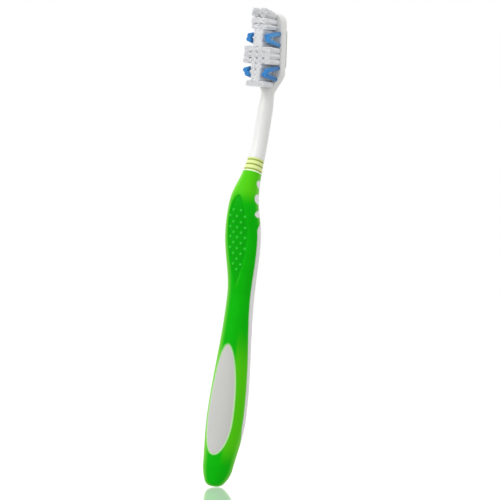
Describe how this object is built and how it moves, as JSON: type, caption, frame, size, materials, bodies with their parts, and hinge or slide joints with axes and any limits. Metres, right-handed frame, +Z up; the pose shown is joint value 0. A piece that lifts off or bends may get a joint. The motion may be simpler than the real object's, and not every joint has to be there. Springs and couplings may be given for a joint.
{
  "type": "manual toothbrush",
  "caption": "Straight manual toothbrush with a white handle, a contoured soft green grip with a dotted thumb rest, a ridged lime collar and a flat head of white and blue bristle tufts.",
  "frame": {"origin": "centre of the small flat under the butt, on which the brush stands upright", "axes": "+Z up the handle to the tip of the head, -Y the way the bristles and the thumb rest face, +X to the right of someone who looks at the bristles"},
  "size_m": [0.0164, 0.0257, 0.1928],
  "materials": {
    "handle_plastic": "glossy white polypropylene",
    "grip_rubber": "satin green thermoplastic rubber",
    "collar_rubber": "satin lime thermoplastic rubber",
    "tongue_rubber": "satin pale green thermoplastic rubber",
    "white_nylon": "white nylon filament",
    "blue_nylon": "blue nylon filament",
    "anchor_brass": "drawn flat wire"
  },
  "bodies": {
    "root": {"handle_core": "handle_plastic", "front_grip": "grip_rubber", "neck_collar": "collar_rubber", "tongue_pad": "tongue_rubber", "anchor_wires": "anchor_brass", "white_tuft_row1_1": "white_nylon", "white_tuft_row1_2": "white_nylon", "white_tuft_row1_3": "white_nylon", "blue_tuft_row2_1": "blue_nylon", "white_tuft_row2_2": "white_nylon", "white_tuft_row2_3": "white_nylon", "blue_tuft_row2_4": "blue_nylon", "white_tuft_row3_1": "white_nylon", "white_tuft_row3_2": "white_nylon", "blue_tuft_row4_1": "blue_nylon", "white_tuft_row4_2": "white_nylon", "white_tuft_row4_3": "white_nylon", "blue_tuft_row4_4": "blue_nylon", "white_tuft_row5_1": "white_nylon", "white_tuft_row5_2": "white_nylon", "white_tuft_row5_3": "white_nylon", "white_tuft_row5_4": "white_nylon", "white_tuft_row6_1": "white_nylon", "white_tuft_row6_2": "white_nylon", "white_tuft_row6_3": "white_nylon", "white_tuft_row6_4": "white_nylon", "white_tuft_row7_1": "white_nylon", "white_tuft_row7_2": "white_nylon", "white_tuft_row7_3": "white_nylon", "white_tuft_row7_4": "white_nylon", "blue_tuft_row8_1": "blue_nylon", "white_tuft_row8_2": "white_nylon", "white_tuft_row8_3": "white_nylon", "blue_tuft_row8_4": "blue_nylon", "white_tuft_row9_1": "white_nylon", "white_tuft_row9_2": "white_nylon", "blue_tuft_row10_1": "blue_nylon", "white_tuft_row10_2": "white_nylon", "white_tuft_row10_3": "white_nylon", "blue_tuft_row10_4": "blue_nylon", "white_tuft_row11_1": "white_nylon", "white_tuft_row11_2": "white_nylon", "white_tuft_row11_3": "white_nylon", "white_tuft_row12_1": "white_nylon", "white_tuft_row12_2": "white_nylon", "white_tuft_row12_3": "white_nylon", "white_tuft_row13_1": "white_nylon", "white_tuft_row13_2": "white_nylon"}
  },
  "joints": []
}
